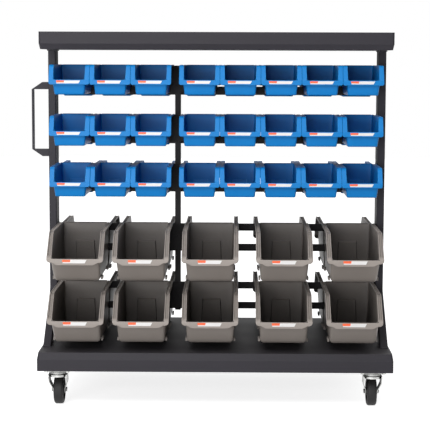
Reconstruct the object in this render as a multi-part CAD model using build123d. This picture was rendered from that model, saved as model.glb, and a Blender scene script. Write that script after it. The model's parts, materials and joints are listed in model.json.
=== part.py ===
from build123d import *
import math
import os

# Double-sided rolling bin rack. X runs along the rack, Y from its front to its back, Z up.
# The origin lies on the floor under the middle of the base. All lengths are millimetres.

# Counts
small_rows = 3
large_rows = 2
left_bay_small = 3
right_bay_small = 5

# Small bins
small_bin_width = 103.5
small_bin_length = 187.0
small_bin_height = 76.0
small_rim_setback = 19.0
small_lip_drop = 38.0
small_lip_height = 12.5
small_lip_bow = 0.0
small_flange = 9.0
small_draft = 2.4
small_foot_taper = 2.0
small_foot_setback = 13.0
small_wall = 2.2
small_rim = 3.0
small_panel_width = 40.0
small_panel_height = 30.0

# Large bins
large_bin_width = 143.0
large_bin_length = 276.0
large_bin_height = 127.0
large_rim_setback = 63.0
large_lip_drop = 62.5
large_lip_height = 9.8
large_lip_bow = 6.7
large_flange = 9.0
large_draft = 2.4
large_foot_taper = 1.6
large_foot_setback = 56.0
large_wall = 2.6
large_rim = 3.5
large_panel_width = 58.0
large_panel_height = 78.0

# Hooks that hang every bin on the upper edge of a rail
hook_sheet = 2.0
hook_drop = 10.0
hook_inset = 6.0
hook_seat_gap = 0.4
hook_side_gap = 0.5
lip_corner_cut = 6.0
lip_bow_shares = (0.34, 0.23)
panel_relief = 1.2
panel_foot_relief = 3.0

# Places of the bins along the rails
small_bin_gap = 0.5
bay_slack = 4.7
left_bay_large_shares = (0.24, 0.76)
right_bay_large_shares = (0.16, 0.516, 0.855)

# Room above and below the rows of bins
low_bin_gap = 22.7
large_row_gap = 31.5
mid_row_gap = 85.0
small_row_gap = 54.5
tray_gap = 41.3
rear_rail_drop = 8.0

# Centre post and rails
centre_post_width = 15.0
centre_post_depth = 25.0
centre_post_wall = 1.5
rail_height = 70.0
rail_sheet = 2.0
rail_bar = 15.0
rail_end_zone = 24.0
rail_centre_zone = 42.0
rail_tab_gap = 2.0

# End frames, each welded from two bent tubes
tube_width = 20.0
tube_depth = 30.0
tube_wall = 1.5
tube_corner = 2.5
leg_splay_degrees = 50.0
leg_kink_rise = 122.2
leg_bend_radius = 30.0
frame_plate = 3.0
foot_plate_reach = 28.0
top_plate_reach = 20.0

# Folded pans of the base and the tray
pan_sheet = 1.5
pan_corner = 6.0
pan_hem = 6.0
pan_slope_inset = 8.0
pan_side_inset = 2.6
base_overhang = 5.8
base_depth = 528.0
base_slope_height = 17.0
base_skirt_height = 30.0
tray_overhang = 2.8
tray_depth = 392.0
tray_slope_height = 14.5
tray_face_height = 30.0

# Channels under the deck that carry the casters
channel_margin = 2.0
channel_sheet = 2.0
channel_end_gap = 1.0

# Casters
caster_side_inset = 49.5
caster_end_inset = 42.0
caster_trail = 30.0
caster_plate_width = 72.0
caster_plate_length = 66.0
caster_plate_sheet = 2.5
caster_plate_corner = 8.0
raceway_radius = 24.0
raceway_height = 7.0
raceway_gap = 0.5
race_neck_radius = 20.5
race_neck_height = 4.4
crown_height = 5.6
wheel_top_gap = 5.5
fork_sheet = 2.5
fork_boss_radius = 9.0
fork_head_length = 38.0
fork_shoulder_drop = 16.0
fork_waist_rise = 3.0
wheel_radius = 37.0
wheel_width = 25.0
wheel_hub_radius = 11.0
wheel_hub_stand = 0.6
wheel_web_recess = 5.0
wheel_rim_depth = 9.0
wheel_tread_crown = 1.0
wheel_tread_chamfer = 5.0
wheel_side_gap = 0.4
axle_radius = 4.0
axle_running_gap = 0.08

# Push handle on the left post
handle_grip_thickness = 4.5
handle_finger_gap = 42.3
handle_gap_height = 160.0
handle_arm_height = 19.0
handle_corner_run = 28.0
handle_depth = 22.0
handle_sheet = 2.5
handle_rise_above_rail = 64.0

# Fasteners
bolt_radius = 3.0
bolt_head_radius = 5.2
bolt_head_height = 4.0
bolt_hole_gap = 0.3
bolt_tail = 6.0
bolt_edge_gap = 1.0
screw_radius = 2.0
screw_head_radius = 3.8
screw_head_height = 2.4
screw_tail = 4.0
caster_bolt_inset = 9.0

# Cutting tools run past the faces that they cut by this much
overrun = 1.0

# Heights, from the floor up
crown_low_z = 2 * wheel_radius + wheel_top_gap
raceway_low_z = crown_low_z + crown_height + race_neck_height + raceway_gap
caster_height = raceway_low_z + raceway_height + caster_plate_sheet
deck_z = caster_height + base_skirt_height + base_slope_height
bin_stand = hook_sheet + hook_seat_gap
low_rail_z = deck_z + low_bin_gap + large_bin_height - bin_stand
large_pitch = large_bin_height + large_row_gap
small_pitch = small_bin_height + small_row_gap
large_rail_tops = [low_rail_z + row * large_pitch for row in range(large_rows)]
first_small_z = large_rail_tops[-1] + small_bin_height + mid_row_gap
small_rail_tops = [first_small_z + row * small_pitch for row in range(small_rows)]
rail_tops = large_rail_tops + small_rail_tops
tray_floor_z = rail_tops[-1] + tray_gap

# Places along the rack
bin_pitch = small_bin_width + small_bin_gap
left_bay = left_bay_small * bin_pitch + bay_slack
right_bay = right_bay_small * bin_pitch + bay_slack
inner_span = left_bay + centre_post_width + right_bay
post_inner_x = inner_span / 2
post_outer_x = post_inner_x + tube_width
left_bay_x = -post_inner_x
centre_post_x = left_bay_x + left_bay + centre_post_width / 2
right_bay_x = centre_post_x + centre_post_width / 2
base_width = 2 * (post_outer_x + base_overhang)
tray_width = 2 * (post_outer_x + tray_overhang)

# Places from front to back
rail_back_y = centre_post_depth / 2
rail_face_y = rail_back_y + rail_sheet
bin_back_y = rail_face_y + hook_side_gap
caster_x = base_width / 2 - caster_side_inset
caster_y = base_depth / 2 - caster_end_inset


def rect_face(x_low, x_high, y_low, y_high, z):
    middle = Pos((x_low + x_high) / 2, (y_low + y_high) / 2, z)
    return middle * Rectangle(x_high - x_low, y_high - y_low)


def side_prism(points, x_low, x_high):
    # A side view, given as (y, z) corners, drawn out along X.
    outline = make_face(Polyline(*[(0, y, z) for y, z in points], close=True))
    return Pos(x_low, 0, 0) * extrude(outline, x_high - x_low, dir=(1, 0, 0))


def front_prism(points, y_low, y_high):
    # A front view, given as (x, z) corners, drawn out along Y.
    outline = make_face(Polyline(*[(x, 0, z) for x, z in points], close=True))
    return Pos(0, y_low, 0) * extrude(outline, y_high - y_low, dir=(0, 1, 0))


def upright(radius, z_low, z_high):
    return Pos(0, 0, (z_low + z_high) / 2) * Cylinder(radius, z_high - z_low)


def hang_bin(width, length, height, rim_setback, lip_drop, lip_height, lip_bow, flange, draft, foot_taper,
             foot_setback, wall, rim, panel_width, panel_height):
    # The back face is at y = 0 with the mouth towards -Y, and the underside is at z = 0.
    lip_top = height - lip_drop
    lip_low = lip_top - lip_height
    foot_front = length - foot_setback
    lip_wall = length - rim
    rim_front = length - rim_setback
    lean = (lip_wall - foot_front) / lip_top
    top_half = width / 2 - flange
    top = height + overrun
    far = length + overrun

    def end_view(inset, low, high):
        # Drafted sides that draw in a little more below the lip.
        foot = top_half - draft - foot_taper - inset
        waist = top_half - draft * (height - lip_low) / height - inset
        upper = top_half - draft * (height - high) / height - inset
        half = [(foot, low), (waist, lip_low), (upper, high)]
        return half + [(-x, z) for x, z in reversed(half)]

    # The tub: the front wall leans out to the lip, and the mouth slopes from the lip up to the rim.
    mouth_z = lip_top + rim * lip_drop / rim_setback
    outside = [(0, 0), (-foot_front, 0), (-lip_wall, lip_top), (-lip_wall, mouth_z), (-rim_front, height),
               (0, height)]
    inside = [(-wall, wall), (wall - foot_front - lean * wall, wall), (wall - lip_wall, lip_top),
              (-far, lip_top), (-far, top), (-wall, top)]
    body = front_prism(end_view(0, 0, height), -length, 0) & side_prism(outside, -width, width)
    body -= front_prism(end_view(wall, wall, top), -far, 0) & side_prism(inside, -width, width)

    # A turned-out flange follows the top edge and the slope on both sides.
    slope_back = rim * math.hypot(rim_setback, lip_drop) / lip_drop
    under = rim_front - slope_back + rim * rim_setback / lip_drop
    flange_points = [(0, height), (-rim_front, height), (-length, lip_top), (-length, lip_top - rim),
                     (-lip_wall, lip_top - rim), (-lip_wall, lip_top), (-under, height - rim),
                     (0, height - rim)]
    root = top_half - wall
    body += side_prism(flange_points, root, width / 2)
    body += side_prism(flange_points, -width / 2, -root)

    # The label lip hangs from a ledge in front of the wall, and may bow down in the middle.
    bow_out, bow_in = [share * width for share in lip_bow_shares]
    lip_half = [(bow_in, lip_low - lip_bow), (bow_out, lip_low), (width / 2 - lip_corner_cut, lip_low),
                (width / 2, lip_low + lip_corner_cut), (width / 2, lip_top)]
    lip_points = lip_half + [(-x, z) for x, z in reversed(lip_half)]
    body += front_prism(lip_points, -length, -lip_wall)
    ledge = [(-lip_wall, lip_top), (-lip_wall, lip_top - rim), (wall - lip_wall, lip_top - rim),
             (wall - lip_wall, lip_top)]
    body += side_prism(ledge, -root, root)

    # The hook reaches over the rail and down behind it.
    reach = 2 * hook_side_gap + rail_sheet + hook_sheet
    hook_points = [(-wall, height), (reach, height), (reach, height - hook_drop),
                   (reach - hook_sheet, height - hook_drop), (reach - hook_sheet, height - hook_sheet),
                   (-wall, height - hook_sheet)]
    hook_half = top_half - hook_inset
    body += side_prism(hook_points, -hook_half, hook_half)

    # A raised panel, thicker towards the floor, stiffens the inside of the back wall.
    panel_top = wall + panel_height
    panel_points = [(-wall / 2, wall), (-wall - panel_foot_relief, wall), (-wall - panel_relief, panel_top),
                    (-wall / 2, panel_top)]
    body += side_prism(panel_points, -panel_width / 2, panel_width / 2)
    return body


def folded_pan(width, depth, slope_height, face_height):
    # The floor lies at z = 0. Sloped bands and then upright faces rise to a hem that turns inwards.
    def shape(inset, low, high):
        corner = pan_corner - inset
        slope_width = width - 2 * (pan_side_inset + inset)
        slope_depth = depth - 2 * (pan_slope_inset + inset)
        slope_low = RectangleRounded(slope_width, slope_depth, corner)
        slope_high = RectangleRounded(width - 2 * inset, depth - 2 * inset, corner)
        band = loft([Pos(0, 0, low) * slope_low, Pos(0, 0, slope_height) * slope_high], ruled=True)
        return band + Pos(0, 0, slope_height) * extrude(slope_high, high - slope_height)

    rim_z = slope_height + face_height
    pan = shape(0, 0, rim_z) - shape(pan_sheet, pan_sheet, rim_z - pan_sheet)
    mouth = RectangleRounded(width - 2 * pan_hem, depth - 2 * pan_hem, pan_corner - pan_sheet)
    pan -= Pos(0, 0, rim_z - pan_sheet - overrun) * extrude(mouth, pan_sheet + 2 * overrun)
    return pan


def bolt_hole(x, y, z_low, z_high, radius=bolt_radius + bolt_hole_gap):
    return Pos(x, y, 0) * upright(radius, z_low, z_high)


def rail_top(side_y, rail_z):
    # The rails on the back hang a little lower than those on the front.
    return rail_z - rear_rail_drop if side_y > 0 else rail_z


# Bolt places shared by the pieces that the bolts hold together
splay = math.radians(leg_splay_degrees)
leg_kink_z = deck_z + leg_kink_rise
leg_run = (leg_kink_z - deck_z) * math.tan(splay)
foot_middle_y = tube_depth / 2 + leg_run
foot_half = tube_depth / math.cos(splay) / 2
foot_front_y = foot_middle_y + foot_half
foot_back_y = foot_middle_y - foot_half - foot_plate_reach
foot_bolt_y = foot_back_y + foot_plate_reach / 2
top_bolt_y = tube_depth + top_plate_reach / 2
post_x = post_inner_x + tube_width / 2
frame_bolt_x = post_inner_x + bolt_head_radius + bolt_edge_gap
tab_reach = rail_face_y - rail_tab_gap
tab_screw_y = rail_tab_gap + tab_reach / 2
tab_screw_drop = rail_bar / 2
caster_bolt_dx = caster_plate_width / 2 - caster_bolt_inset
caster_bolt_dy = caster_plate_length / 2 - caster_bolt_inset
frame_places = [(side_x, side_y) for side_x in (-1, 1) for side_y in (-1, 1)]
caster_places = [(side_x * caster_x, side_y * caster_y) for side_x, side_y in frame_places]
caster_bolts = [(x + dx * caster_bolt_dx, y + dy * caster_bolt_dy)
                for x, y in caster_places for dx, dy in frame_places]


def tray_screw(side_x, side_y, gap, tail):
    # A flat head flush with the tray floor over a shank that ends in the top plate.
    head_z = tray_floor_z + pan_sheet
    sink = bolt_head_radius - bolt_radius
    head = Pos(0, 0, head_z - sink / 2) * Cone(bolt_radius + gap, bolt_head_radius + gap, sink)
    shank = upright(bolt_radius + gap, tray_floor_z - frame_plate - tail, head_z)
    return Pos(side_x * frame_bolt_x, side_y * top_bolt_y, 0) * (head + shank)


def base_deck():
    height = base_slope_height + base_skirt_height
    pan = folded_pan(base_width, base_depth, base_slope_height, base_skirt_height)
    deck = Pos(0, 0, caster_height + height) * Rot(180, 0, 0) * pan
    for side_x, side_y in frame_places:
        hole_low = deck_z - 2 * pan_sheet
        deck -= bolt_hole(side_x * frame_bolt_x, side_y * foot_bolt_y, hole_low, deck_z + overrun)
    return deck


def top_tray():
    # A floor sheet with four folded walls that are mitred at the corners.
    pan = folded_pan(tray_width, tray_depth, tray_slope_height, tray_face_height)
    tray = Pos(0, 0, tray_floor_z) * pan
    for side_x, side_y in frame_places:
        tray -= tray_screw(side_x, side_y, bolt_hole_gap, 0)
    half_x = tray_width / 2
    half_y = tray_depth / 2
    ridge = half_x - half_y
    wall_height = tray_slope_height + tray_face_height
    floor_width = tray_width - 2 * (pan_side_inset + pan_sheet)
    floor_depth = tray_depth - 2 * (pan_slope_inset + pan_sheet)
    floor_plan = RectangleRounded(floor_width, floor_depth, pan_corner - pan_sheet)
    floor = Pos(0, 0, tray_floor_z) * extrude(floor_plan, pan_sheet)
    pieces = [tray & floor]
    walls = tray - floor
    for side in (-1, 1):
        long_wall = [(-half_x, side * half_y), (half_x, side * half_y), (ridge, 0), (-ridge, 0)]
        short_wall = [(side * half_x, -half_y), (side * half_x, half_y), (side * ridge, 0)]
        for plan in (long_wall, short_wall):
            region = extrude(make_face(Polyline(*plan, close=True)), wall_height, dir=(0, 0, 1))
            pieces.append(walls & Pos(0, 0, tray_floor_z) * region)
    return pieces


def caster_channel(x):
    # A channel with its web down: the web takes the caster plates and the legs meet the deck.
    half = caster_plate_width / 2 + channel_margin
    inner = half - channel_sheet
    leg_top = deck_z - pan_sheet
    web_top = caster_height + channel_sheet
    section = [(x - half, leg_top), (x - half, caster_height), (x + half, caster_height), (x + half, leg_top),
               (x + inner, leg_top), (x + inner, web_top), (x - inner, web_top), (x - inner, leg_top)]
    end_y = base_depth / 2 - pan_slope_inset - 2 * pan_sheet - channel_end_gap
    channel = front_prism(section, -end_y, end_y)
    for bolt_x, bolt_y in caster_bolts:
        if bolt_x * x > 0:
            channel -= bolt_hole(bolt_x, bolt_y, caster_height - overrun, web_top + overrun)
    return channel


def bent_tube(side_y, x):
    # One tube: straight under the tray, then bent out to a foot on the deck.
    y = side_y * tube_depth / 2
    foot_y = side_y * (foot_middle_y + tube_depth * math.sin(splay))
    foot_z = deck_z - tube_depth * math.cos(splay)
    top_z = tray_floor_z - frame_plate
    line = FilletPolyline((x, y, top_z), (x, y, leg_kink_z), (x, foot_y, foot_z), radius=leg_bend_radius)
    start = Plane(origin=(x, y, top_z), x_dir=(1, 0, 0), z_dir=(0, 0, -1))
    outside = start * RectangleRounded(tube_width, tube_depth, tube_corner)
    bore_width = tube_width - 2 * tube_wall
    bore_depth = tube_depth - 2 * tube_wall
    inside = start * Rectangle(bore_width, bore_depth)
    tube = sweep(outside, path=line) - sweep(inside, path=line)
    below = rect_face(x - tube_width, x + tube_width, -base_depth, base_depth, deck_z + frame_plate)
    return tube - extrude(below, -base_depth)


def end_frame(side_x):
    x = side_x * post_x
    frame = bent_tube(-1, x) + bent_tube(1, x)
    half = tube_width / 2
    bolt_x = side_x * frame_bolt_x
    for side_y in (-1, 1):
        near, far = sorted((side_y * foot_front_y, side_y * foot_back_y))
        foot = extrude(rect_face(x - half, x + half, near, far, deck_z), frame_plate)
        foot -= bolt_hole(bolt_x, side_y * foot_bolt_y, deck_z - overrun, deck_z + frame_plate + overrun)
        frame += foot
    reach = tube_depth + top_plate_reach
    plate = extrude(rect_face(x - half, x + half, -reach, reach, tray_floor_z), -frame_plate)
    for side_y in (-1, 1):
        plate -= tray_screw(side_x, side_y, bolt_hole_gap, overrun)
    frame += plate
    for rail_z in rail_tops:
        for side_y in (-1, 1):
            hole_z = rail_top(side_y, rail_z) - tab_screw_drop
            hole = Pos(side_x * post_inner_x, side_y * tab_screw_y, hole_z)
            frame -= hole * Rot(0, 90, 0) * Cylinder(screw_radius + bolt_hole_gap, 3 * tube_wall)
    return frame


def hang_rail(side_y, rail_z):
    # A punched strip with a window in each bay and a tab at each end that turns in along the post.
    end_x = post_inner_x
    tab_x = end_x - rail_sheet
    low_z = rail_z - rail_height
    plan = [(-end_x, -rail_face_y), (end_x, -rail_face_y), (end_x, -rail_tab_gap), (tab_x, -rail_tab_gap),
            (tab_x, -rail_back_y), (-tab_x, -rail_back_y), (-tab_x, -rail_tab_gap), (-end_x, -rail_tab_gap)]
    strip = extrude(Pos(0, 0, low_z) * make_face(Polyline(*plan, close=True)), rail_height)
    zone = rail_centre_zone / 2
    middle_z = rail_z - rail_height / 2
    bays = ((rail_end_zone - end_x, centre_post_x - zone), (centre_post_x + zone, end_x - rail_end_zone))
    for low_x, high_x in bays:
        window = [(low_x, low_z + rail_bar), (high_x, low_z + rail_bar), (high_x, rail_z - rail_bar),
                  (low_x, rail_z - rail_bar)]
        strip -= front_prism(window, -rail_face_y - overrun, overrun - rail_back_y)
    drill = Cylinder(screw_radius + bolt_hole_gap, 4 * rail_sheet)
    strip -= Pos(centre_post_x, -rail_face_y, middle_z) * Rot(90, 0, 0) * drill
    for end in (-1, 1):
        strip -= Pos(end * end_x, -tab_screw_y, rail_z - tab_screw_drop) * Rot(0, 90, 0) * drill
    return strip if side_y < 0 else Rot(0, 0, 180) * mirror(strip, Plane.YZ)


def centre_post():
    low_z = rail_tops[0] - rail_height - rear_rail_drop
    outside = Rectangle(centre_post_width, centre_post_depth)
    inside = Rectangle(centre_post_width - 2 * centre_post_wall, centre_post_depth - 2 * centre_post_wall)
    post = Pos(centre_post_x, 0, low_z) * extrude(outside - inside, rail_tops[-1] - low_z)
    for rail_z in rail_tops:
        for side_y in (-1, 1):
            hole_z = rail_top(side_y, rail_z) - rail_height / 2
            hole = Pos(centre_post_x, side_y * rail_back_y, hole_z) * Rot(90, 0, 0)
            post -= hole * Cylinder(screw_radius + bolt_hole_gap, 3 * centre_post_wall)
    return post


def screw(head_radius, head_height, radius, tail):
    # Head above z = 0, shank below it.
    return upright(head_radius, 0, head_height) + upright(radius, -tail, overrun)


def rail_screws():
    pieces = []
    face_tail = rail_sheet + centre_post_wall + screw_tail
    tab_tail = rail_sheet + tube_wall + screw_tail
    for rail_z in rail_tops:
        for side_y in (-1, 1):
            top_z = rail_top(side_y, rail_z)
            middle_z = top_z - rail_height / 2
            turned = Pos(centre_post_x, side_y * rail_face_y, middle_z) * Rot(-90 * side_y, 0, 0)
            pieces.append(turned * screw(screw_head_radius, screw_head_height, screw_radius, face_tail))
            for end in (-1, 1):
                tab_x = end * (post_inner_x - rail_sheet)
                turned = Pos(tab_x, side_y * tab_screw_y, top_z - tab_screw_drop) * Rot(0, -90 * end, 0)
                pieces.append(turned * screw(screw_head_radius, screw_head_height, screw_radius, tab_tail))
    return pieces


def hex_bolt(tail):
    head = extrude(RegularPolygon(bolt_head_radius, 6), bolt_head_height)
    return head + upright(bolt_radius, -tail, overrun)


def frame_bolts():
    pieces = []
    for side_x, side_y in frame_places:
        foot = Pos(side_x * frame_bolt_x, side_y * foot_bolt_y, deck_z + frame_plate)
        pieces.append(foot * hex_bolt(frame_plate + pan_sheet + bolt_tail))
        pieces.append(tray_screw(side_x, side_y, 0, 0))
    under = caster_height - caster_plate_sheet
    tail = caster_plate_sheet + channel_sheet + bolt_tail
    for x, y in caster_bolts:
        pieces.append(Pos(x, y, under) * Rot(180, 0, 0) * hex_bolt(tail))
    return pieces


def push_handle():
    # A folded C: flat grip, two arms, and front and back webs that taper towards the grip.
    post_side = -post_outer_x
    grip_in = post_side - handle_finger_gap
    grip_out = grip_in - handle_grip_thickness
    gap_high = rail_tops[-1] - handle_rise_above_rail
    gap_low = gap_high - handle_gap_height
    corner_x = grip_out + handle_corner_run
    outline = [(post_side, gap_high), (grip_in, gap_high), (grip_in, gap_low), (post_side, gap_low),
               (post_side, gap_low - handle_arm_height), (corner_x, gap_low - handle_arm_height),
               (grip_out, gap_low), (grip_out, gap_high), (corner_x, gap_high + handle_arm_height),
               (post_side, gap_high + handle_arm_height)]
    half = handle_depth / 2
    handle = front_prism(outline, -half, half)
    inner = half - handle_sheet
    flange_x = post_side - handle_sheet
    pocket_low = gap_high + handle_sheet
    pocket_high = gap_high + handle_arm_height + overrun
    top_pocket = [(flange_x, pocket_low), (flange_x, pocket_high), (grip_out, pocket_high),
                  (grip_out, pocket_low)]
    handle -= front_prism(top_pocket, -inner, inner)
    middle = gap_high + gap_low
    low_pocket = [(x, middle - z) for x, z in top_pocket]
    handle -= front_prism(low_pocket, -inner, inner)
    return handle


def caster_plate(x, y):
    low = caster_height - caster_plate_sheet
    plate = RectangleRounded(caster_plate_width, caster_plate_length, caster_plate_corner)
    piece = Pos(0, 0, low) * extrude(plate, caster_plate_sheet)
    piece += upright(raceway_radius, low - raceway_height, low + caster_plate_sheet / 2)
    for dx, dy in frame_places:
        piece -= bolt_hole(dx * caster_bolt_dx, dy * caster_bolt_dy, low - overrun, caster_height + overrun)
    return Pos(x, y, 0) * piece


def caster_fork(x, y):
    # A ball race neck and a crown, with two legs that draw in from the shoulders and trail back to the axle.
    crown_top = crown_low_z + crown_height
    fork = upright(race_neck_radius, crown_low_z, crown_top + race_neck_height)
    fork += upright(raceway_radius, crown_low_z, crown_top)
    head = Pos(0, crown_low_z + crown_height / 2) * Rectangle(fork_head_length, crown_height)
    axle_end = Pos(caster_trail, wheel_radius)
    boss = axle_end * Circle(fork_boss_radius)
    leg = make_hull((head + boss).edges()) - axle_end * Circle(axle_radius + bolt_hole_gap)
    side_view = extrude(Plane.YZ * leg, raceway_radius, both=True)
    shoulder = raceway_radius - fork_sheet
    waist = wheel_width / 2 + wheel_hub_stand + wheel_side_gap
    inner = [(shoulder, crown_top), (shoulder, crown_low_z - fork_shoulder_drop),
             (waist, wheel_radius + fork_waist_rise), (waist, wheel_radius - fork_boss_radius - overrun)]
    outer = [(across + fork_sheet, z) for across, z in reversed(inner)]
    reach = caster_trail + fork_boss_radius + overrun
    for side in (-1, 1):
        strip = front_prism([(side * across, z) for across, z in inner + outer], -reach, reach)
        fork += strip & side_view
    outside = waist + fork_sheet
    axle_place = Pos(0, caster_trail, wheel_radius) * Rot(0, 90, 0)
    axle = Cylinder(axle_radius, 2 * outside + bolt_head_height)
    for side in (-1, 1):
        cap = extrude(RegularPolygon(axle_radius + screw_radius, 6), bolt_head_height)
        axle += Pos(0, 0, side * (outside + bolt_head_height / 2) - bolt_head_height / 2) * cap
    place = Pos(x, y, 0)
    return [place * fork, place * axle_place * axle]


def caster_wheel(x, y):
    half = wheel_width / 2
    hub = half + wheel_hub_stand
    web = half - wheel_web_recess
    rim = wheel_radius - wheel_rim_depth
    bore = axle_radius + axle_running_gap
    shoulder = half - wheel_tread_chamfer
    low = [(bore, -hub), (wheel_hub_radius, -hub), (wheel_hub_radius, -web), (rim, -web), (rim, -half),
           (wheel_radius - wheel_tread_chamfer, -half), (wheel_radius - wheel_tread_crown, -shoulder),
           (wheel_radius, wheel_tread_chamfer - shoulder)]
    high = [(r, -z) for r, z in reversed(low)]
    wheel = revolve(make_face(Polyline(*low, *high, close=True)), Axis.Y)
    return Pos(x, y + caster_trail, wheel_radius) * Rot(0, 0, -90) * wheel


small_bin = hang_bin(small_bin_width, small_bin_length, small_bin_height, small_rim_setback, small_lip_drop,
                     small_lip_height, small_lip_bow, small_flange, small_draft, small_foot_taper,
                     small_foot_setback, small_wall, small_rim, small_panel_width, small_panel_height)
large_bin = hang_bin(large_bin_width, large_bin_length, large_bin_height, large_rim_setback, large_lip_drop,
                     large_lip_height, large_lip_bow, large_flange, large_draft, large_foot_taper,
                     large_foot_setback, large_wall, large_rim, large_panel_width, large_panel_height)


def small_bin_places():
    left = [left_bay_x + bay_slack / 2 + (number + 0.5) * bin_pitch for number in range(left_bay_small)]
    right = [right_bay_x + bay_slack / 2 + (number + 0.5) * bin_pitch for number in range(right_bay_small)]
    return left + right


def large_bin_places():
    left = [left_bay_x + share * left_bay for share in left_bay_large_shares]
    right = [right_bay_x + share * right_bay for share in right_bay_large_shares]
    return left + right


def bin_row(piece, places, rail_z, height, side_y):
    z = rail_top(side_y, rail_z) + bin_stand - height
    turn = 0 if side_y < 0 else 180
    return [Pos(x, side_y * bin_back_y, z) * Rot(0, 0, turn) * piece for x in places]


def write(name, shapes):
    solids = shapes if isinstance(shapes, list) else [shapes]
    flat = [solid for shape in solids for solid in shape.solids()]
    export_step(flat[0] if len(flat) == 1 else Compound(children=flat), f"parts/{name}.step")


os.makedirs("parts", exist_ok=True)
write("base_deck", base_deck())
write("caster_channels", [caster_channel(-caster_x), caster_channel(caster_x)])
write("top_tray", top_tray())
write("left_end_frame", end_frame(-1))
write("right_end_frame", end_frame(1))
write("centre_post", centre_post())
write("front_rails", [hang_rail(-1, rail_z) for rail_z in rail_tops])
write("rear_rails", [hang_rail(1, rail_top(1, rail_z)) for rail_z in rail_tops])
write("push_handle", push_handle())
write("rail_screws", rail_screws())
write("frame_bolts", frame_bolts())
write("caster_plates", [caster_plate(x, y) for x, y in caster_places])
for (x, y), corner in zip(caster_places, ("front_left", "rear_left", "front_right", "rear_right")):
    write(f"{corner}_fork", caster_fork(x, y))
    write(f"{corner}_wheel", caster_wheel(x, y))

# Rows are counted from the top, and bins from the left.
kinds = (("small", small_bin, small_bin_places(), small_rail_tops, small_bin_height),
         ("large", large_bin, large_bin_places(), large_rail_tops, large_bin_height))
for kind, piece, places, tops, height in kinds:
    for row, rail_z in enumerate(reversed(tops), start=1):
        front_row = bin_row(piece, places, rail_z, height, -1)
        for number, placed in enumerate(front_row, start=1):
            write(f"{kind}_bin_row{row}_{number}", placed)
        write(f"rear_{kind}_bins_row{row}", bin_row(piece, places, rail_z, height, 1))
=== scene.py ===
import json
import math

import bmesh
import bpy
import numpy as np
from mathutils import Matrix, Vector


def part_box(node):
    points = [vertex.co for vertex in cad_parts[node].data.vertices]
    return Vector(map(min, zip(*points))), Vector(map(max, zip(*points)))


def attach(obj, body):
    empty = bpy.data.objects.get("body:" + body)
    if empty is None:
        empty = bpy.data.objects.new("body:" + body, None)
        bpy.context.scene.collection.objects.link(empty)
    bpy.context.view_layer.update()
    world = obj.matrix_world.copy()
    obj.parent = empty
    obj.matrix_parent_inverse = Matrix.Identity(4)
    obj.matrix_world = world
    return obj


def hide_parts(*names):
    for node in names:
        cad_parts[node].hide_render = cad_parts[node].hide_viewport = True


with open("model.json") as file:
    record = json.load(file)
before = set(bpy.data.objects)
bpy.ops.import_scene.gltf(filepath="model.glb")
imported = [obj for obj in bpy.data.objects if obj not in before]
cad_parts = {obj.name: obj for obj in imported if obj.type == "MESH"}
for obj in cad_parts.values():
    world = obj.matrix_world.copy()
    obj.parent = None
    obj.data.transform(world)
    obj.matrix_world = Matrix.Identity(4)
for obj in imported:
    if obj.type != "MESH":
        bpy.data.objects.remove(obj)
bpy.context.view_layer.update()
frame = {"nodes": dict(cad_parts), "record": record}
nodes = frame["nodes"]
print("frame loaded:", len(nodes), "nodes")

mm = 0.001  # sizes below are in millimetres, meshes in metres


def tone(red, green, blue):
    # a screen colour from 0 to 255 as the linear colour that shaders take
    value = np.array([red, green, blue]) / 255
    linear = np.where(value > 0.04045, ((value + 0.055) / 1.055) ** 2.4, value / 12.92)
    return (*linear.tolist(), 1.0)


# node groups shared by the finishes

# settings for grain, worn edges, dust and the painted shade in recesses
wearAndShade = dict(grainDetail=2.0, patchDetail=4.0, bevelSamples=4, rubSteep=4.0, rubDetail=5.0,
            rubContrast=1.5, dustSteep=4.0, dustDetail=5.0, recessSamples=6)


def startGroup(name, inputs, outputs):
    group = bpy.data.node_groups.new(name, "ShaderNodeTree")
    for label, value in inputs:
        socket = group.interface.new_socket(label, in_out="INPUT", socket_type="NodeSocketFloat")
        socket.default_value = value
    for label in outputs:
        group.interface.new_socket(label, in_out="OUTPUT", socket_type="NodeSocketFloat")
    return group, group.nodes.new("NodeGroupInput"), group.nodes.new("NodeGroupOutput")


def mathNode(tree, operation, first, second=None, clamp=False):
    node = tree.nodes.new("ShaderNodeMath")
    node.operation = operation
    node.use_clamp = clamp
    for socket, value in zip(node.inputs, (first, second)):
        if isinstance(value, (int, float)):
            socket.default_value = value
        elif value is not None:
            tree.links.new(value, socket)
    return node.outputs[0]


def noiseNode(tree, scale, detail):
    # noise on object coordinates
    place = tree.nodes.new("ShaderNodeTexCoord").outputs["Object"]
    node = tree.nodes.new("ShaderNodeTexNoise")
    node.inputs["Detail"].default_value = detail
    tree.links.new(place, node.inputs["Vector"])
    tree.links.new(scale, node.inputs["Scale"])
    return node.outputs["Fac"]


def makeGrain():
    # fine grain for the bump, and slow patches for colour and gloss
    inputs = [("Scale", 1200.0), ("Patch Scale", 14.0)]
    group, entry, leave = startGroup("fineGrain", inputs, ["Height", "Patch"])
    height = noiseNode(group, entry.outputs["Scale"], wearAndShade["grainDetail"])
    patch = noiseNode(group, entry.outputs["Patch Scale"], wearAndShade["patchDetail"])
    group.links.new(height, leave.inputs["Height"])
    group.links.new(patch, leave.inputs["Patch"])
    return group


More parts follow.
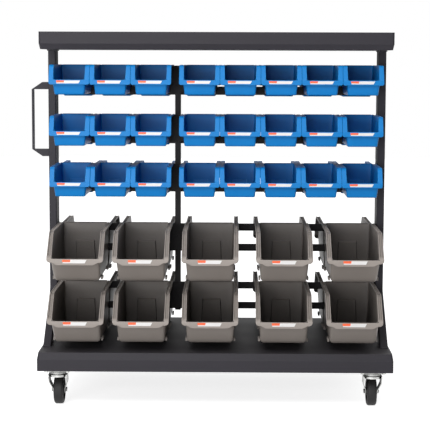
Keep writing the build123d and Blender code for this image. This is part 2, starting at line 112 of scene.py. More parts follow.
def makeEdgeRub():
    # the rounded normal leaves the true one near an edge, and patches break the rubbed line up
    group, entry, leave = startGroup("edgeRub", [("Radius", 0.0015), ("Breakup", 60.0)], ["Mask"])
    bevel = group.nodes.new("ShaderNodeBevel")
    bevel.samples = wearAndShade["bevelSamples"]
    group.links.new(entry.outputs["Radius"], bevel.inputs["Radius"])
    dot = group.nodes.new("ShaderNodeVectorMath")
    dot.operation = "DOT_PRODUCT"
    group.links.new(bevel.outputs["Normal"], dot.inputs[0])
    group.links.new(group.nodes.new("ShaderNodeNewGeometry").outputs["Normal"], dot.inputs[1])
    away = mathNode(group, "SUBTRACT", 1.0, dot.outputs["Value"])
    bend = mathNode(group, "MULTIPLY", away, wearAndShade["rubSteep"], True)
    noise = noiseNode(group, entry.outputs["Breakup"], wearAndShade["rubDetail"])
    patch = mathNode(group, "POWER", noise, wearAndShade["rubContrast"])
    group.links.new(mathNode(group, "MULTIPLY", bend, patch, True), leave.inputs["Mask"])
    return group


def makeDust():
    # dust lies on faces that look up, thicker in slow patches
    group, entry, leave = startGroup("settledDust", [("Amount", 0.2), ("Scale", 22.0)], ["Mask"])
    normal = group.nodes.new("ShaderNodeNewGeometry").outputs["Normal"]
    split = group.nodes.new("ShaderNodeSeparateXYZ")
    group.links.new(normal, split.inputs[0])
    lifted = mathNode(group, "MAXIMUM", split.outputs["Z"], 0.0)
    up = mathNode(group, "POWER", lifted, wearAndShade["dustSteep"])
    patch = noiseNode(group, entry.outputs["Scale"], wearAndShade["dustDetail"])
    lying = mathNode(group, "MULTIPLY", up, patch)
    mask = mathNode(group, "MULTIPLY", lying, entry.outputs["Amount"], True)
    group.links.new(mask, leave.inputs["Mask"])
    return group


def makeRecess():
    # painted shade in deep places inside a piece: one minus the open share of the half sphere above the
    # surface
    group, entry, leave = startGroup("recessPaintedShade", [("Distance", 0.1), ("Amount", 0.8)], ["Mask"])
    hidden = group.nodes.new("ShaderNodeAmbientOcclusion")
    hidden.only_local = True
    hidden.samples = wearAndShade["recessSamples"]
    group.links.new(entry.outputs["Distance"], hidden.inputs["Distance"])
    deep = mathNode(group, "SUBTRACT", 1.0, hidden.outputs["AO"])
    mask = mathNode(group, "MULTIPLY", deep, entry.outputs["Amount"], True)
    group.links.new(mask, leave.inputs["Mask"])
    return group


fineGrain = makeGrain()
edgeRub = makeEdgeRub()
settledDust = makeDust()
recessPaintedShade = makeRecess()


def placeGroup(tree, group, **values):
    node = tree.nodes.new("ShaderNodeGroup")
    node.node_tree = group
    for label, value in values.items():
        node.inputs[label.replace("_", " ")].default_value = value
    return node.outputs


def mixColour(tree, factor, first, second):
    node = tree.nodes.new("ShaderNodeMix")
    node.data_type = "RGBA"
    tree.links.new(factor, node.inputs[0])
    for socket, value in ((node.inputs[6], first), (node.inputs[7], second)):  # the colour sockets A and B
        if isinstance(value, tuple):
            socket.default_value = value
        else:
            tree.links.new(value, socket)
    return node.outputs[2]


def spread(tree, value, low, high):
    # moves a mask of 0 to 1 into the range low to high
    node = tree.nodes.new("ShaderNodeMapRange")
    node.inputs["To Min"].default_value = low
    node.inputs["To Max"].default_value = high
    tree.links.new(value, node.inputs["Value"])
    return node.outputs["Result"]


def makeFinish(name, look):
    # colour drifts in patches, edges rub to a second colour, deep places get painted shade where the look
    # says so, dust greys the upper faces, and grain gives the bump
    material = bpy.data.materials.new(name)
    material.use_nodes = True
    tree = material.node_tree
    shader = tree.nodes["Principled BSDF"]
    grain = placeGroup(tree, fineGrain, Scale=look["grain"], Patch_Scale=look["patch"])
    colour = mixColour(tree, grain["Patch"], look["dark"], look["light"])
    rub = placeGroup(tree, edgeRub, Radius=look["rubWidth"], Breakup=look["rubBreak"])
    colour = mixColour(tree, rub["Mask"], colour, look["rub"])
    # painted shade: hidden, deep places are mixed towards a darker colour
    if look.get("recess"):
        paintedShade = placeGroup(tree, recessPaintedShade, Distance=look["recess"], Amount=look["paintedShade"])
        colour = mixColour(tree, paintedShade["Mask"], colour, look["deep"])
    dust = placeGroup(tree, settledDust, Amount=look["dust"])
    colour = mixColour(tree, dust["Mask"], colour, look["dustColour"])
    tree.links.new(colour, shader.inputs["Base Color"])
    tree.links.new(spread(tree, grain["Patch"], *look["roughness"]), shader.inputs["Roughness"])
    bump = tree.nodes.new("ShaderNodeBump")
    bump.inputs["Strength"].default_value = look["bump"]
    bump.inputs["Distance"].default_value = look["bumpDepth"]
    tree.links.new(grain["Height"], bump.inputs["Height"])
    if look.get("softEdge"):
        soft = tree.nodes.new("ShaderNodeBevel")
        soft.samples = wearAndShade["bevelSamples"]
        soft.inputs["Radius"].default_value = look["softEdge"]
        tree.links.new(soft.outputs["Normal"], bump.inputs["Normal"])
    tree.links.new(bump.outputs["Normal"], shader.inputs["Normal"])
    shader.inputs["Metallic"].default_value = look["metallic"]
    shader.inputs["Specular IOR Level"].default_value = look["specular"]
    return material


dustColour = tone(150, 146, 140)
framePaint = makeFinish("charcoalPowderCoat", dict(
    dark=tone(40, 38, 43), light=tone(48, 46, 52), grain=1500.0, patch=9.0,
    rub=tone(96, 94, 99), rubWidth=0.0014, rubBreak=70.0, dust=0.10, dustColour=dustColour,
    roughness=(0.42, 0.56), bump=0.25, bumpDepth=0.0002, softEdge=0.0012, metallic=0.0, specular=0.2))
railPaint = makeFinish("blackPowderCoat", dict(
    dark=tone(17, 15, 17), light=tone(24, 22, 24), grain=1500.0, patch=12.0,
    rub=tone(70, 68, 70), rubWidth=0.0008, rubBreak=80.0, dust=0.06, dustColour=dustColour,
    roughness=(0.45, 0.6), bump=0.25, bumpDepth=0.0002, softEdge=0.0006, metallic=0.0, specular=0.2))
bluePlastic = makeFinish("blueMouldedPlastic", dict(
    dark=tone(4, 112, 182), light=tone(8, 122, 194), grain=900.0, patch=16.0,
    rub=tone(96, 184, 230), rubWidth=0.0010, rubBreak=90.0, dust=0.05, dustColour=dustColour,
    # the recess settings paint shade into the deep insides of the blue bins
    recess=0.10, paintedShade=0.24, deep=tone(0, 78, 166),
    roughness=(0.36, 0.46), bump=0.12, bumpDepth=0.0002, metallic=0.0, specular=0.2))
greyPlastic = makeFinish("greyMouldedPlastic", dict(
    dark=tone(138, 130, 124), light=tone(150, 142, 136), grain=800.0, patch=12.0,
    rub=tone(172, 167, 163), rubWidth=0.0012, rubBreak=80.0, dust=0.05, dustColour=tone(170, 166, 160),
    # the recess settings paint shade into the deep insides of the grey bins, so they darken towards the
    # bottom
    recess=0.16, paintedShade=1.1, deep=tone(46, 43, 42),
    roughness=(0.38, 0.5), bump=0.15, bumpDepth=0.0002, metallic=0.0, specular=0.3))
zincPlate = makeFinish("zincPlate", dict(
    dark=tone(168, 168, 166), light=tone(198, 198, 196), grain=2200.0, patch=90.0,
    rub=tone(225, 225, 225), rubWidth=0.0008, rubBreak=90.0, dust=0.08, dustColour=dustColour,
    # the recess settings paint shade, nearly black, into the hollows of the zinc parts, such as the insides
    # of the caster forks
    recess=0.05, paintedShade=1.9, deep=tone(18, 18, 19),
    roughness=(0.28, 0.46), bump=0.1, bumpDepth=0.0001, softEdge=0.0006, metallic=1.0, specular=0.5))
wheelRubber = makeFinish("blackTread", dict(
    dark=tone(22, 21, 22), light=tone(32, 31, 32), grain=1100.0, patch=40.0,
    rub=tone(60, 58, 58), rubWidth=0.0015, rubBreak=60.0, dust=0.12, dustColour=dustColour,
    roughness=(0.5, 0.7), bump=0.3, bumpDepth=0.0003, metallic=0.0, specular=0.35))
cardPaper = makeFinish("labelPaper", dict(
    dark=tone(212, 210, 209), light=tone(222, 221, 220), grain=2500.0, patch=60.0,
    rub=tone(220, 217, 213), rubWidth=0.0005, rubBreak=90.0, dust=0.0, dustColour=dustColour,
    roughness=(0.4, 0.5), bump=0.05, bumpDepth=0.0001, metallic=0.0, specular=0.4))
cardPrint = makeFinish("labelOrange", dict(
    dark=tone(238, 92, 52), light=tone(246, 108, 66), grain=2500.0, patch=60.0,
    rub=tone(248, 170, 140), rubWidth=0.0005, rubBreak=90.0, dust=0.0, dustColour=dustColour,
    roughness=(0.4, 0.5), bump=0.05, bumpDepth=0.0001, metallic=0.0, specular=0.4))

slotFinish = {"frame_paint": framePaint, "rail_paint": railPaint, "small_bin_plastic": bluePlastic,
              "large_bin_plastic": greyPlastic, "zinc_steel": zincPlate, "wheel_rubber": wheelRubber}
for part in frame["record"]["subparts"]:  # each node starts with the finish of its slot
    mesh = nodes[part["node"]].data
    mesh.materials.clear()
    mesh.materials.append(slotFinish[part["material_slot"]])
nodes["rail_screws"].data.materials[0] = railPaint  # these screws are painted with the rails
print("finishes made:", len(bpy.data.materials))


# surfaces as grids of points

joining = dict(mergeReach=1e-6, slimEdge=1e-7, crease=math.radians(32))  # lengths in metres


def gridQuads(rows, columns, start):
    # each face joins two neighbouring rows and columns, and the last column meets the first
    row, column = np.meshgrid(np.arange(rows - 1), np.arange(columns), indexing="ij")
    here = start + row * columns + column
    beside = start + row * columns + (column + 1) % columns
    return np.stack([here, beside, beside + columns, here + columns], -1).reshape(-1, 4)


def meshFromGrids(name, grids, materials):
    # every grid is (rows, columns, 3) in millimetres with columns that close round,
    # and its end rows are capped unless they meet
    points, faces, looks, start = [], [], [], 0
    for grid, look in grids:
        rows, columns = grid.shape[:2]
        points.append(grid.reshape(-1, 3))
        quads = gridQuads(rows, columns, start).tolist()
        last = start + (rows - 1) * columns
        ends = [] if np.allclose(grid[0], grid[-1]) else [start, last]
        caps = [list(range(first, first + columns)) for first in ends]
        faces += quads + caps
        looks += [look] * (len(quads) + len(caps))
        start += rows * columns
    mesh = bpy.data.meshes.new(name)
    mesh.from_pydata((np.concatenate(points) * mm).tolist(), [], faces)
    mesh.polygons.foreach_set("material_index", looks)
    for material in materials:
        mesh.materials.append(material)
    work = bmesh.new()
    work.from_mesh(mesh)
    bmesh.ops.remove_doubles(work, verts=work.verts, dist=joining["mergeReach"])
    bmesh.ops.dissolve_degenerate(work, edges=work.edges, dist=joining["slimEdge"])
    bmesh.ops.recalc_face_normals(work, faces=work.faces)
    work.to_mesh(mesh)
    work.free()
    mesh.polygons.foreach_set("use_smooth", [True] * len(mesh.polygons))
    mesh.set_sharp_from_angle(angle=joining["crease"])
    return mesh


def showPiece(name, mesh, body, replaced=()):
    piece = bpy.data.objects.new(name, mesh)
    bpy.context.scene.collection.objects.link(piece)
    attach(piece, body)
    if replaced:
        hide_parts(*replaced)


def placedMesh(template, name, places, turn=0.0):
    # copies of one shape, turned about the upright axis and moved to each place, as one mesh
    joined = bmesh.new()
    for place in places:
        copy = template.copy()
        copy.transform(Matrix.Translation([v * mm for v in place]) @ Matrix.Rotation(turn, 4, "Z"))
        joined.from_mesh(copy)
        bpy.data.meshes.remove(copy)
    mesh = template.copy()
    mesh.name = name
    joined.to_mesh(mesh)
    joined.free()
    return mesh


def block(low, high):
    # a straight solid between two loops of points
    return np.stack([np.asarray(low, float), np.asarray(high, float)])


# hang bins: the origin is the middle of the back edge at the underside, and the mouth looks along -Y

smallBin = dict(
    rows=3, perRow=8, width=103.5, length=187.0, height=76.0, wall=2.2, corner=5.0, bottomRound=3.0,
    draft=2.4, footTaper=2.0, footSetback=13.0, feet=0,
    flange=9.0, rim=3.0, rimSetback=19.0, rimBend=7.0, groove=1.6, grooveSlope=0.0, rungPitch=0.0,
    lipDrop=38.0, lipEnd=12.5, lipMiddle=12.5, lipBend=4.0, lipCorner=5.0,
    panelWidth=40.0, panelHeight=30.0, panelRelief=(1.2, 3.0), panelTaper=1.0,
    cardShift=-1.0, cardHeight=7.4)
largeBin = dict(
    rows=2, perRow=5, width=143.0, length=276.0, height=127.0, wall=2.6, corner=8.0, bottomRound=11.0,
    draft=2.4, footTaper=1.6, footSetback=56.0, feet=3,
    flange=9.0, rim=3.5, rimSetback=63.0, rimBend=9.0, groove=3.0, grooveSlope=1.0, rungPitch=17.0,
    lipDrop=62.5, lipEnd=9.8, lipMiddle=16.5, lipBend=6.0, lipCorner=9.0,
    panelWidth=58.0, panelHeight=78.0, panelRelief=(4.6, 1.6), panelTaper=4.0,
    cardShift=0.0, cardHeight=8.8)
mouth = dict(lipRun=40.0, bendPoints=9)  # the side path runs on below the lip


def sidePath(size):
    # side view of the mouth: along the rim, down the slope and down the lip,
    # each bend a parabola between tangents
    rimFront = size["length"] - size["rimSetback"]
    lipTop = size["height"] - size["lipDrop"]
    corners = np.array([[0.0, size["height"]], [-rimFront, size["height"]],
                        [-size["length"], lipTop], [-size["length"], lipTop - mouth["lipRun"]]])
    share = np.linspace(0, 1, mouth["bendPoints"])[:, None]
    path = [corners[:1]]
    bends = (size["rimBend"], size["lipBend"])
    for before, here, after, reach in zip(corners[:-2], corners[1:-1], corners[2:], bends):
        start = here + (before - here) / np.linalg.norm(before - here) * reach
        end = here + (after - here) / np.linalg.norm(after - here) * reach
        path.append((1 - share) ** 2 * start + 2 * share * (1 - share) * here + share ** 2 * end)
    path = np.concatenate(path + [corners[-1:]])
    run = np.concatenate([[0.0], np.cumsum(np.linalg.norm(np.diff(path, axis=0), axis=1))])
    return path, run


def foldOver(size, x, q, depth):
    # a point of the flat band at (x, q), moved along the path's normal by depth, laid on the side path
    path, run = sidePath(size)
    tangent = np.gradient(path, run, axis=0)
    tangent /= np.linalg.norm(tangent, axis=1, keepdims=True)
    y, z = (np.interp(q, run, path[:, i]) for i in (0, 1))
    ty, tz = (np.interp(q, run, tangent[:, i]) for i in (0, 1))
    return np.stack([x + 0 * y, y + depth * tz, z - depth * ty], -1)


tub = dict(leastCorner=0.6, leastInner=1.2, topEdge=0.6, underBand=0.5, steps=16, cornerPoints=5,
           endPoints=5, sidePoints=24, bottomRows=5, wallRows=3, edgeRows=3)


def tubGrid(size):
    # a rounded plan (u) swept up the outside, over the wall's top and down the inside (v),
    # where the top follows the mouth
    height, wall, corner = size["height"], size["wall"], size["corner"]
    lipTop = height - size["lipDrop"]
    lipLow = lipTop - size["lipEnd"]
    footFront = size["length"] - size["footSetback"]
    lean = (size["length"] - size["rim"] - footFront) / lipTop
    topHalf = size["width"] / 2 - size["flange"]
    path = sidePath(size)[0]
    # plan: back right corner, back, back left corner, left side,
    # front left corner, front, front right corner, right side
    arc = np.linspace(0, np.pi / 2, tub["cornerPoints"])
    across = np.linspace(1, -1, tub["endPoints"] + 2)[1:-1]
    sideRun = np.linspace(0, 1, tub["sidePoints"] + 2)[1:-1]
    bend, level, straight = np.ones_like(arc), np.ones_like(across), np.ones_like(sideRun)
    end = np.concatenate([bend, level, bend])
    quarters = [arc + turn * np.pi / 2 for turn in range(4)]
    sideX = np.concatenate([bend, across, -bend, -straight, -bend, -across, bend, straight])
    forward = np.concatenate([0 * end, sideRun, end, sideRun[::-1]])
    turnX = np.concatenate([np.cos(quarters[0]), 0 * across, np.cos(quarters[1]), -straight,
                            np.cos(quarters[2]), 0 * across, np.cos(quarters[3]), straight])
    turnY = np.concatenate([np.sin(quarters[0]), level, np.sin(quarters[1]), 0 * sideRun,
                            np.sin(quarters[2]), -level, np.sin(quarters[3]), 0 * sideRun])
    sided = np.concatenate([end, straight, np.cos(arc), 0 * across, np.sin(arc), straight])

    def plan(inset, z):
        draft = size["draft"] * (1 - z / height)
        taper = size["footTaper"] * np.clip(1 - z / lipLow, 0, 1)
        half = topHalf - draft - taper
        radius = np.maximum(corner - inset, tub["leastCorner"])
        front = footFront + lean * z
        x = sideX * (half - inset - radius) + radius * turnX
        y = -(inset + radius + forward * (front - 2 * inset - 2 * radius)) + radius * turnY
        return x, y

    top = np.full(sideX.shape, height)
    for _ in range(tub["steps"]):  # the wall leans, so its top edge is found by repeated halfway steps
        top = (top + np.interp(-plan(0.0, top)[1], -path[:, 0], path[:, 1])) / 2
    top = lipTop + (np.maximum(top, lipTop) - lipTop) * sided - tub["underBand"]
    soft, edge = size["bottomRound"], tub["topEdge"]
    inner = max(soft - wall, tub["leastInner"])
    swing = np.linspace(0, np.pi / 2, tub["bottomRows"])
    climb = np.linspace(0, 1, tub["wallRows"] + 2)[1:-1]
    roll = np.linspace(0, np.pi / 2, tub["edgeRows"])
    # each row is (inset from the outside, height above the foot, share of the top's height)
    rows = [(soft * (1 - np.sin(a)), soft * (1 - np.cos(a)), 0.0) for a in swing]
    rows += [(0.0, soft * (1 - f) - edge * f, f) for f in climb]
    rows += [(edge * (1 - np.cos(a)), edge * (np.sin(a) - 1), 1.0) for a in roll]
    rows += [(wall - edge * (1 - np.cos(a)), edge * (np.sin(a) - 1), 1.0) for a in roll[::-1]]
    rows += [(wall, (wall + inner) * (1 - f) - edge * f, f) for f in climb[::-1]]
    rows += [(wall + inner * (1 - np.sin(a)), wall + inner * (1 - np.cos(a)), 0.0) for a in swing[::-1]]
    grid = []
    for inset, base, share in rows:
        z = base + share * top
        x, y = plan(inset, z)
        grid.append(np.stack([x, y, z], -1))
    return np.stack(grid)


band = dict(edge=0.8, bowFrom=0.16, bowOver=0.22, grooveStop=6, grooveFade=8, rungShare=0.22, rungSteep=8,
            rimPoints=80, slopePoints=24, cornerPoints=7, lipPoints=18)


def bandGrid(size):
    # a flat U with an inner and an outer edge, a grooved section across it, folded over the side path
    path, run = sidePath(size)
    half, rim = size["width"] / 2, size["rim"]
    root = half - size["flange"] - size["wall"]
    lipTop = size["height"] - size["lipDrop"]
    lipQ = np.interp(lipTop, path[::-1, 1], run[::-1])
    rimQ = size["length"] - size["rimSetback"] - size["rimBend"]
    endQ = lipQ + size["lipEnd"]
    radius = size["lipCorner"]
    strip = np.concatenate([np.linspace(0, rimQ, band["rimPoints"]),
                            np.linspace(rimQ, lipQ, band["slopePoints"])[1:]])
    arc = np.linspace(0, np.pi / 2, band["cornerPoints"])
    cornerX = -half + radius * (1 - np.cos(arc))
    cornerQ = endQ - radius + radius * np.sin(arc)
    acrossX = np.linspace(-half + radius, 0, band["lipPoints"])[1:]
    bow = np.clip((1 - np.abs(acrossX) / half - band["bowFrom"]) / band["bowOver"], 0, 1)
    lowQ = endQ + (size["lipMiddle"] - size["lipEnd"]) * bow ** 2 * (3 - 2 * bow)
    outer = np.concatenate([np.stack([-half + 0 * strip, strip], -1), np.stack([cornerX, cornerQ], -1),
                            np.stack([acrossX, lowQ], -1)])
    innerX = np.clip(acrossX, -root, 0)
    inner = np.concatenate([np.stack([-root + 0 * strip, strip], -1), np.tile([-root, lipQ], (len(arc), 1)),
                            np.stack([innerX, lipQ + 0 * innerX], -1)])
    outer = np.concatenate([outer, (outer * [-1, 1])[-2::-1]])
    inner = np.concatenate([inner, (inner * [-1, 1])[-2::-1]])
    along = np.concatenate([strip, np.full(len(inner) - 2 * len(strip), lipQ), strip[::-1]])
    grooveEnd = rimQ + size["grooveSlope"] * (lipQ - rimQ - band["grooveStop"])
    groove = size["groove"] * np.clip((grooveEnd - along) / band["grooveFade"], 0, 1)
    if size["rungPitch"]:  # rungs cross the groove along the rim
        rung = np.abs((along / size["rungPitch"]) % 1 - 0.5) * 2
        opened = np.clip((rung - band["rungShare"]) * band["rungSteep"], 0, 1)
        groove = groove * np.where(along > rimQ, 1.0, opened)
    # section from the inner edge to the outer one and back underneath: share across, groove, depth
    share = np.array([0.0, 0.14, 0.24, 0.70, 0.80, 0.93, 1.0, 1.0, 0.93, 0.0])
    sink = np.array([0, 0, 1, 1, 0, 0, 0, 0, 0, 0])
    depth = np.array([0, 0, 0, 0, 0, 0, band["edge"], rim - band["edge"], rim, rim])
    flat = inner[:, None] + share[None, :, None] * (outer - inner)[:, None]
    sunk = depth[None] + sink[None] * groove[:, None]
    return foldOver(size, flat[..., 0], flat[..., 1], -sunk)


hook = dict(sheet=2.0, drop=10.0, inset=6.0, gap=0.5, railSheet=2.0, edge=0.8)


def hookGrid(size):
    # the hook's side view carried across the back
    height, wall, edge = size["height"], size["wall"], hook["edge"]
    reach = 2 * hook["gap"] + hook["railSheet"] + hook["sheet"]
    inside, under, low = reach - hook["sheet"], height - hook["sheet"], height - hook["drop"]
    view = np.array([[-wall, height], [reach - edge, height], [reach, height - edge], [reach, low],
                     [inside, low], [inside, under], [-wall, under]])
    half = size["width"] / 2 - size["flange"] - hook["inset"]
    return np.stack([np.column_stack([np.full(len(view), x), view]) for x in (-half, half)])


def panelGrid(size):
    # a raised panel on the back wall under a sloped ledge, a little narrower at the top, with bevelled sides
    wall, half, top = size["wall"], size["panelWidth"] / 2, size["wall"] + size["panelHeight"]
    high, low = size["panelRelief"]
    upper, ledge, bevel = half - size["panelTaper"], top - high, 0.5 * high
    sunk, foot = -wall / 2, wall / 2
    back = [[-half, sunk, foot], [half, sunk, foot], [upper, sunk, top], [-upper, sunk, top]]
    face = [[bevel - half, -wall - low, foot], [half - bevel, -wall - low, foot],
            [upper - bevel, -wall - high, ledge], [bevel - upper, -wall - high, ledge]]
    return block(back, face)


sideFoot = dict(pitch=12.0, frontInset=16.0, backInset=14.0, sunk=1.0, proud=3.6, wide=5.0,
                low=3.0, high=11.0)


def sideFeet(size):
    # small feet low on both side walls, counted in from the front and the back, leaning with the wall
    topHalf = size["width"] / 2 - size["flange"]
    front = size["length"] - size["footSetback"]
    step = np.arange(size["feet"]) * sideFoot["pitch"]
    half = sideFoot["wide"] / 2
    made = []
    for side in (-1, 1):
        for y in np.concatenate([step + sideFoot["frontInset"] - front, -sideFoot["backInset"] - step]):
            loops = []
            for z in (sideFoot["low"], sideFoot["high"]):
                wallX = topHalf - size["draft"] * (1 - z / size["height"])
                sunk, proud = side * (wallX - sideFoot["sunk"]), side * (wallX + sideFoot["proud"])
                loops.append([[sunk, y - half, z], [proud, y - half, z],
                              [proud, y + half, z], [sunk, y + half, z]])
            made.append(block(*loops))
    return made


def binMesh(name, size, material):
    grids = [tubGrid(size), bandGrid(size), hookGrid(size), panelGrid(size)] + sideFeet(size)
    return meshFromGrids(name, [(grid, 0) for grid in grids], [material])


card = dict(length=60.0, slant=4.5, lean=1.2, thick=0.5, below=1.8, sunk=0.3,
            blockLength=18.4, blockShare=0.68, blockLean=0.6, blockSlant=1.0, blockThick=0.12)


def cardMesh(name, size):
    # a slanted card on the label lip with a coloured block at its left end, both straight between two loops
    top = size["height"] - size["lipDrop"] - card["below"]
    low = top - size["cardHeight"]
    left = size["cardShift"] - card["length"] / 2
    right = left + card["length"]
    outline = np.array([[left, low], [right - card["slant"], low], [right, top], [left - card["lean"], top]])
    blockLow = top - card["blockShare"] * size["cardHeight"]
    blockRight = left + card["blockLength"]
    patch = np.array([[left - card["blockLean"], blockLow], [blockRight, blockLow],
                      [blockRight + card["blockSlant"], top], [left - card["lean"], top]])
    grids = []
    for view, look, proud in ((outline, 0, card["thick"]), (patch, 1, card["thick"] + card["blockThick"])):
        loops = [np.column_stack([view[:, 0], np.full(len(view), -size["length"] - out), view[:, 1]])
                 for out in (-card["sunk"], proud)]
        grids.append((np.stack(loops), look))
    return meshFromGrids(name, grids, [cardPaper, cardPrint])


def binPlace(node):
    # the middle of a node's width and its underside, from the CAD node's box
    low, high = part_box(node)
    return (low.x + high.x) / 2 / mm, low.z / mm


backPlane = 15.0  # from the middle of the rack to the bins' back edges
kinds = (("small", smallBin, bluePlastic), ("large", largeBin, greyPlastic))
for kind, size, plastic in kinds:
    shape = binMesh(f"{kind}BinShape", size, plastic)
    label = cardMesh(f"{kind}CardShape", size)
    print(kind, "bin shape:", len(shape.polygons), "faces")
    for row in range(1, size["rows"] + 1):
        rear = f"rear_{kind}_bins_row{row}"
        rearLevel = binPlace(rear)[1]
        rearPlaces = []
        for number in range(1, size["perRow"] + 1):
            node = f"{kind}_bin_row{row}_{number}"
            x, z = binPlace(node)
            place = (x, -backPlane, z)
            rearPlaces.append((x, backPlane, rearLevel))
            moulded = placedMesh(shape, f"{kind}MouldedBin_{row}_{number}", [place])
            showPiece(moulded.name, moulded, node, [node])
            printed = placedMesh(label, f"{kind}LabelCard_{row}_{number}", [place])
            showPiece(printed.name, printed, node)
        # the back row faces the other way and is one body
        moulded = placedMesh(shape, f"rear{kind.title()}MouldedBins_{row}", rearPlaces, math.pi)
        showPiece(moulded.name, moulded, rear, [rear])
        printed = placedMesh(label, f"rear{kind.title()}LabelCards_{row}", rearPlaces, math.pi)
        showPiece(printed.name, printed, rear)
    bpy.data.meshes.remove(shape)
    bpy.data.meshes.remove(label)
print("bins placed")


# casters

caster = dict(spotX=404.5, spotY=222.0, trail=30.0)
ballRing = dict(balls=18, ringRadius=21.6, ballRadius=1.9, level=91.7, pole=0.05, latitudes=7, longitudes=10)
tyre = dict(radius=37.0, half=12.5, shoulder=6.0, rim=28.0, rimEdge=0.6, web=7.6,
            hubRadius=11.0, hubHalf=13.1, hubEdge=0.8, bore=4.3, shoulderPoints=8, roundPoints=72)


def ballGrids(spot):
    # spheres in a ring: rows are latitudes, columns are longitudes
    reach = np.pi / 2 - ballRing["pole"]
    latitude = np.linspace(-reach, reach, ballRing["latitudes"])[:, None]
    longitude = np.linspace(0, 2 * np.pi, ballRing["longitudes"], endpoint=False)[None]
    unit = np.stack([np.cos(latitude) * np.cos(longitude), np.cos(latitude) * np.sin(longitude),
                     np.sin(latitude) + 0 * longitude], -1)
    ring = ballRing["ringRadius"]
    grids = []
    for turn in np.arange(ballRing["balls"]) * 2 * np.pi / ballRing["balls"]:
        middle = [spot[0] + ring * np.cos(turn), spot[1] + ring * np.sin(turn), ballRing["level"]]
        grids.append((unit * ballRing["ballRadius"] + middle, 0))
    return grids


def wheelGrid(spot):
    # a closed view of (along the axle, out from it) spun round the axle; the shoulders are quarter circles
    swing = np.linspace(0, np.pi / 2, tyre["shoulderPoints"])
    half, radius, shoulder = tyre["half"], tyre["radius"], tyre["shoulder"]
    hub, hubEnd, hubEdge = tyre["hubRadius"], tyre["hubHalf"], tyre["hubEdge"]
    rim, edge, web = tyre["rim"], tyre["rimEdge"], tyre["web"]
    along = np.concatenate([[hubEnd, hubEnd, hubEnd - hubEdge, web, web, half - edge, half],
                            half - shoulder * (1 - np.cos(swing))])
    out = np.concatenate([[tyre["bore"], hub - hubEdge, hub, hub + edge, rim - edge, rim, rim + edge],
                          radius - shoulder + shoulder * np.sin(swing)])
    along = np.concatenate([along, -along[::-1], along[:1]])[:, None]
    out = np.concatenate([out, out[::-1], out[:1]])[:, None]
    turn = np.linspace(0, 2 * np.pi, tyre["roundPoints"], endpoint=False)
    return np.stack([spot[0] + along + 0 * turn, spot[1] + caster["trail"] + out * np.cos(turn),
                     radius + out * np.sin(turn)], -1)


for side, x in (("left", -caster["spotX"]), ("right", caster["spotX"])):
    for end, y in (("front", -caster["spotY"]), ("rear", caster["spotY"])):
        corner = f"{end}_{side}"
        balls = meshFromGrids(f"{corner}RaceBalls", ballGrids((x, y)), [zincPlate])
        showPiece(balls.name, balls, f"{corner}_caster")
        spun = meshFromGrids(f"{corner}RoundedWheel", [(wheelGrid((x, y)), 0)], [wheelRubber])
        showPiece(spun.name, spun, f"{corner}_wheel", [f"{corner}_wheel"])
print("casters dressed")


# floor, light and camera, in metres


def grey(value):
    return (value, value, value, 1.0)


floorLook = dict(reach=9.0, bounce=0.4, seen=0.86, glow=0.75, roughness=0.9)


def makeFloor():
    # the floor looks bright to the camera and in gloss, and bounces less light onto the rack
    reach = floorLook["reach"]
    corners = [(-reach, -reach, 0), (reach, -reach, 0), (reach, reach, 0), (-reach, reach, 0)]
    mesh = bpy.data.meshes.new("paleFloor")
    mesh.from_pydata(corners, [], [(0, 1, 2, 3)])
    floor = bpy.data.objects.new("paleFloor", mesh)
    bpy.context.scene.collection.objects.link(floor)
    material = bpy.data.materials.new("paleFloorPaint")
    material.use_nodes = True
    tree = material.node_tree
    shader = tree.nodes["Principled BSDF"]
    shader.inputs["Roughness"].default_value = floorLook["roughness"]
    shader.inputs["Specular IOR Level"].default_value = 0.0
    path = tree.nodes.new("ShaderNodeLightPath")
    seen = mathNode(tree, "MAXIMUM", path.outputs["Is Camera Ray"], path.outputs["Is Glossy Ray"])
    seen = mathNode(tree, "MAXIMUM", seen, path.outputs["Is Transmission Ray"])
    colour = mixColour(tree, seen, grey(floorLook["bounce"]), grey(floorLook["seen"]))
    tree.links.new(colour, shader.inputs["Base Color"])
    shader.inputs["Emission Color"].default_value = grey(1.0)
    tree.links.new(mathNode(tree, "MULTIPLY", seen, floorLook["glow"]), shader.inputs["Emission Strength"])
    mesh.materials.append(material)


ambient = dict(front=0.34, back=0.9, acrossY=(-0.4, 0.5), low=0.2, acrossZ=(-0.05, 0.35))


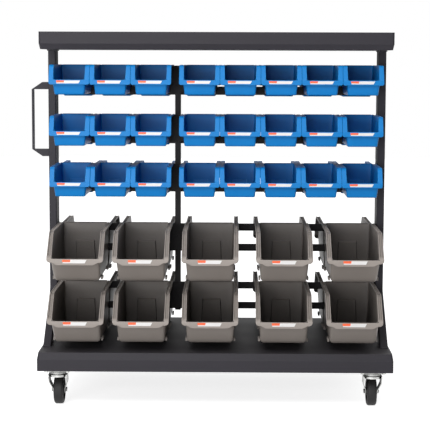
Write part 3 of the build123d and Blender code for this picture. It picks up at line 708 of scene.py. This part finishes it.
def makeSky():
    # plain white to the camera; as light it grows from front to back and from the horizon up
    world = bpy.data.worlds.new("softStudio")
    bpy.context.scene.world = world
    world.use_nodes = True
    tree = world.node_tree
    sky = tree.nodes["Background"]
    direction = tree.nodes.new("ShaderNodeTexCoord").outputs["Generated"]
    split = tree.nodes.new("ShaderNodeSeparateXYZ")
    tree.links.new(direction, split.inputs[0])
    levels = []
    for axis, span, low, high in (("Y", ambient["acrossY"], ambient["front"], ambient["back"]),
                                  ("Z", ambient["acrossZ"], ambient["low"], 1.0)):
        ranged = tree.nodes.new("ShaderNodeMapRange")
        ranged.inputs["From Min"].default_value, ranged.inputs["From Max"].default_value = span
        ranged.inputs["To Min"].default_value = low
        ranged.inputs["To Max"].default_value = high
        tree.links.new(split.outputs[axis], ranged.inputs["Value"])
        levels.append(ranged.outputs["Result"])
    path = tree.nodes.new("ShaderNodeLightPath")
    seen = mathNode(tree, "MAXIMUM", path.outputs["Is Camera Ray"], path.outputs["Is Transmission Ray"])
    level = mathNode(tree, "MULTIPLY", *levels)
    tree.links.new(mathNode(tree, "MAXIMUM", seen, level), sky.inputs["Strength"])
    sky.inputs["Color"].default_value = grey(1.0)


softBoxes = dict(
    frontBox=dict(spot=(-1.1, -3.5, 0.8), size=(2.4, 1.3), power=66.0),
    topBox=dict(spot=(-0.7, -2.6, 2.9), size=(2.6, 1.6), power=78.0))
lampAim = (0, 0, 0.5)  # the middle of the rack


def addSoftBox(name, spot, size, power):
    # an area lamp whose own -Z looks at the rack, with its width level
    lamp = bpy.data.lights.new(name, "AREA")
    lamp.shape = "RECTANGLE"
    lamp.size, lamp.size_y = size
    lamp.energy = power
    holder = bpy.data.objects.new(name, lamp)
    bpy.context.scene.collection.objects.link(holder)
    back = np.array(spot) - np.array(lampAim)
    back = back / np.linalg.norm(back)
    side = np.cross([0, 0, 1.0], back)
    side /= np.linalg.norm(side)
    turn = np.eye(4)
    turn[:3, :3] = np.column_stack([side, np.cross(back, side), back])
    turn[:3, 3] = spot
    holder.matrix_world = Matrix(turn.tolist())


shot = dict(spot=(0.04476, -3.84801, 0.89386), pitch=6.06, yaw=0.73, roll=0.19,
            lens=120.07, sensor=36.0, shiftY=-0.0103)


def placeCamera():
    # yaw about the upright axis, then pitch down from level, then roll
    eye = bpy.data.cameras.new("photoCamera")
    eye.lens = shot["lens"]
    eye.sensor_width = shot["sensor"]
    eye.shift_y = shot["shiftY"]
    camera = bpy.data.objects.new("photoCamera", eye)
    bpy.context.scene.collection.objects.link(camera)
    turns = ((shot["yaw"], "Z"), (90 - shot["pitch"], "X"), (shot["roll"], "Z"))
    place = Matrix.Translation(shot["spot"])
    for degrees, axis in turns:
        place = place @ Matrix.Rotation(math.radians(degrees), 4, axis)
    camera.matrix_world = place
    bpy.context.scene.camera = camera


makeFloor()
makeSky()
for name, box in softBoxes.items():
    addSoftBox(name, **box)
placeCamera()
bpy.context.scene.view_settings.view_transform = "Standard"
print("studio and camera set")
